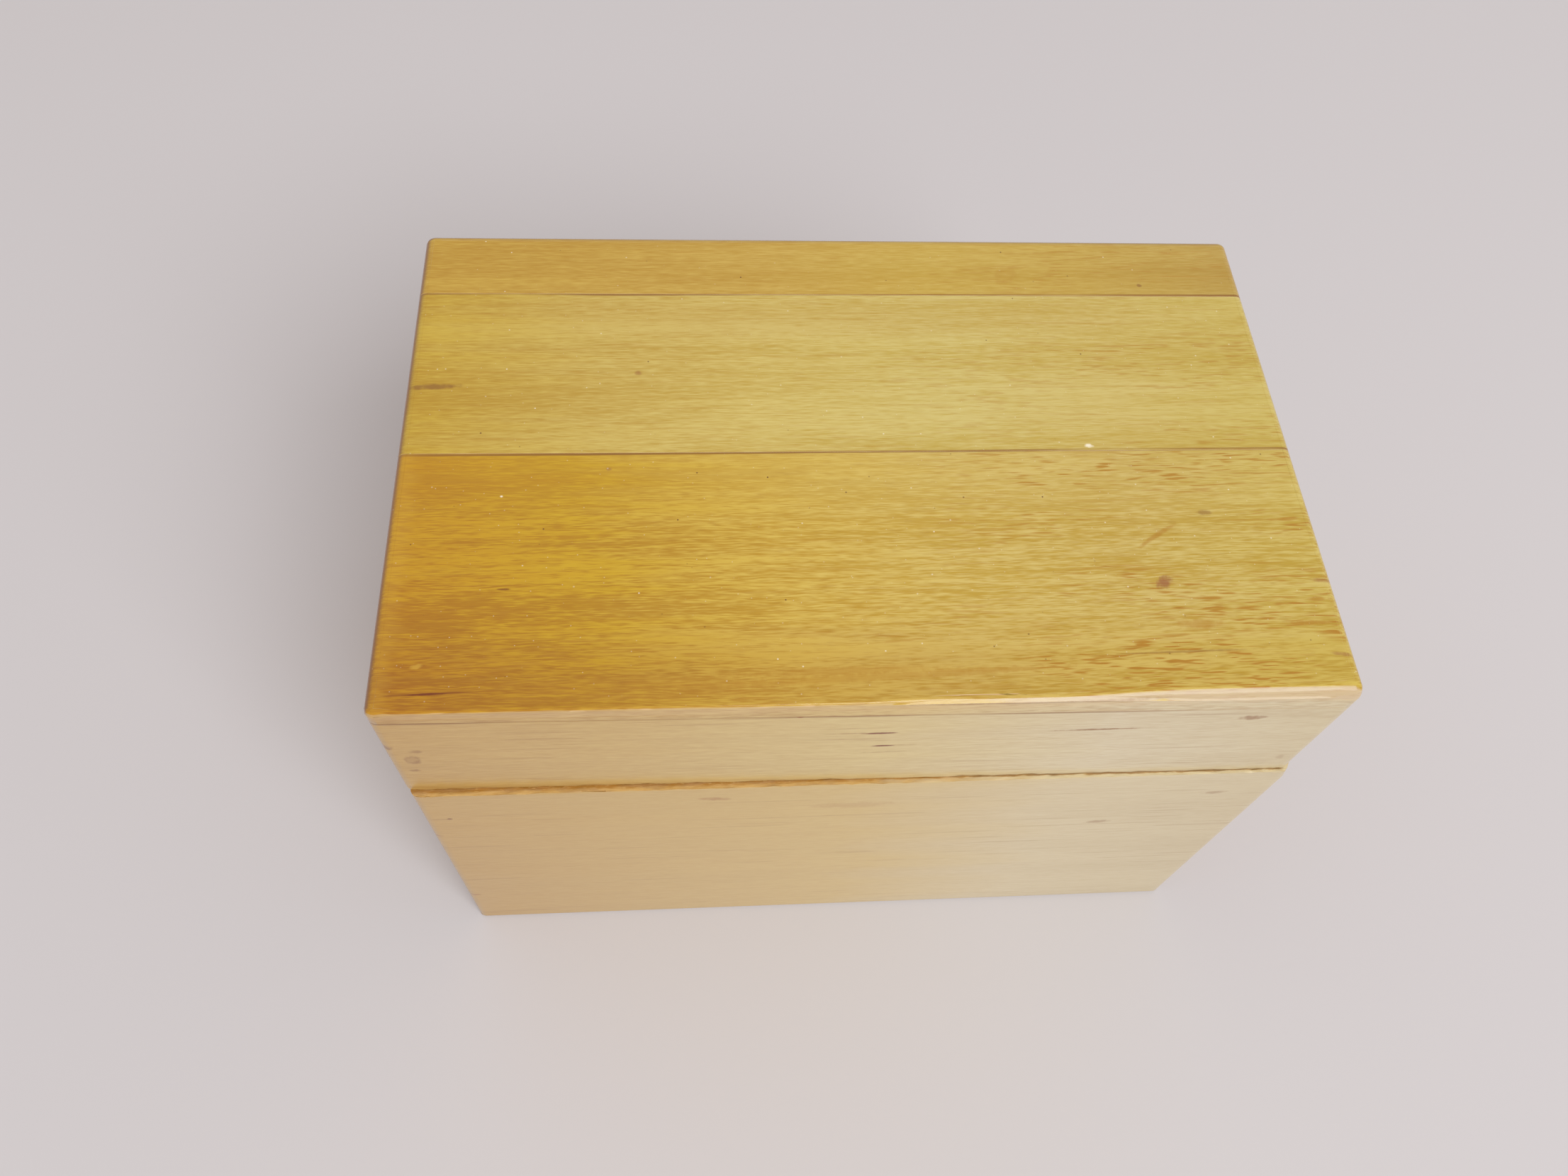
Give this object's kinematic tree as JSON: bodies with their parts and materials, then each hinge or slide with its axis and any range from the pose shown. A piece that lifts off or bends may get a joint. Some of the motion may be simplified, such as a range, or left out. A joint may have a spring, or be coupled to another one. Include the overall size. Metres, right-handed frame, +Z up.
{
  "type": "recipe card box",
  "caption": "Plain varnished wooden recipe card box with an edge-glued top, a bare card space and a full-width lid on butt hinges at the back.",
  "frame": {"origin": "middle of the base's underside, on the surface that the box stands on", "axes": "+Z up, -Y towards the front, +X towards the right side, parallel to the hinge pins"},
  "size_m": [0.1509, 0.0994, 0.103],
  "materials": {
    "frame_wood": "satin varnish on pale hardwood",
    "top_wood": "glossy amber varnish on pale hardwood",
    "panel_wood": "thinly varnished plain panel",
    "hinge_brass": "aged, lightly polished",
    "brass_screws": "aged, slotted",
    "brads": "bright drawn wire, dulled"
  },
  "bodies": {
    "base": {"base_front_board": "frame_wood", "base_back_board": "frame_wood", "base_left_board": "frame_wood", "base_right_board": "frame_wood", "base_bottom_panel": "panel_wood", "left_hinge_base_leaf": "hinge_brass", "left_hinge_pin": "hinge_brass", "right_hinge_base_leaf": "hinge_brass", "right_hinge_pin": "hinge_brass", "left_hinge_base_screw_outer": "brass_screws", "left_hinge_base_screw_inner": "brass_screws", "right_hinge_base_screw_outer": "brass_screws", "right_hinge_base_screw_inner": "brass_screws", "base_front_left_brads": "brads", "base_front_right_brads": "brads", "base_back_left_brads": "brads", "base_back_right_brads": "brads", "bottom_panel_brads": "brads"},
    "lid": {"lid_front_board": "frame_wood", "lid_back_board": "frame_wood", "lid_left_board": "frame_wood", "lid_right_board": "frame_wood", "lid_top_board_front": "top_wood", "lid_top_board_middle": "top_wood", "lid_top_board_rear": "top_wood", "left_hinge_lid_leaf": "hinge_brass", "right_hinge_lid_leaf": "hinge_brass", "left_hinge_lid_screw_outer": "brass_screws", "left_hinge_lid_screw_inner": "brass_screws", "right_hinge_lid_screw_outer": "brass_screws", "right_hinge_lid_screw_inner": "brass_screws", "lid_front_left_brad": "brads", "lid_front_right_brad": "brads", "lid_back_left_brad": "brads", "lid_back_right_brad": "brads"}
  },
  "joints": [
    {"name": "lid_hinge", "type": "hinge", "parent": "base", "child": "lid", "pos_m": [0, 0.04985, 0.073], "axis": [-1, 0, 0], "range_deg": [0, 180]}
  ]
}
